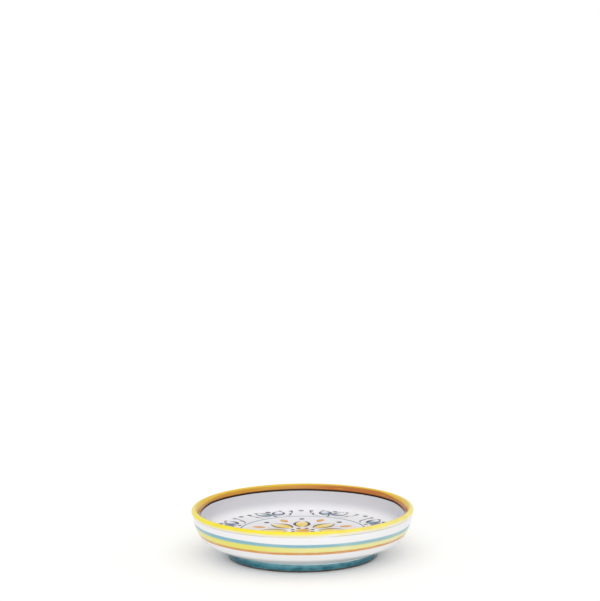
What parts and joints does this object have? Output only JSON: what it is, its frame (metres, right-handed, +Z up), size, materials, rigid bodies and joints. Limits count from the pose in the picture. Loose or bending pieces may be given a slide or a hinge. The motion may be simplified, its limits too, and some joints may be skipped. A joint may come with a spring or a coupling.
{
  "type": "wine bottle coaster",
  "caption": "Round tin-glazed earthenware bottle coaster: a shallow footed dish with a rolled yellow rim, painted bands outside and a painted wreath on its floor.",
  "frame": {"origin": "centre of the foot ring, on the table the coaster stands on", "axes": "+Z up along the dish's axis, out of its open side; +X and +Y lie level, with one leaf spray of the painted wreath at 22.5 degrees from +X"},
  "size_m": [0.127, 0.127, 0.028],
  "materials": {
    "clay": "unglazed fired red earthenware, matt",
    "white_glaze": "glossy opaque white tin glaze",
    "dark_line": "glossy near-black brown painted line",
    "orange": "glossy ochre orange, brushed and a little uneven",
    "yellow": "glossy bright yellow, brushed and a little uneven",
    "pale_yellow": "glossy watery yellow band over white",
    "pale_teal": "glossy watery teal line over white",
    "teal": "glossy strong teal, streaked by the brush",
    "cobalt": "glossy dark cobalt brushwork",
    "pale_blue": "glossy pale blue wash over white"
  },
  "bodies": {
    "root": {"clay_dish": "clay", "clay_foot_ring": "clay", "floor_glaze": "white_glaze", "inner_wall_glaze": "white_glaze", "inner_dark_line": "dark_line", "inner_rim_orange": "orange", "rim_yellow": "yellow", "collar_glaze": "white_glaze", "teal_line": "pale_teal", "yellow_band": "pale_yellow", "orange_line": "orange", "belly_glaze": "white_glaze", "foot_teal": "teal", "recess_glaze": "white_glaze", "teal_ring_line": "teal", "cobalt_strokes": "cobalt", "cobalt_berries": "cobalt", "teal_leaves": "pale_teal", "blue_leaves": "pale_blue", "yellow_petals": "yellow", "orange_buds": "orange"}
  },
  "joints": []
}
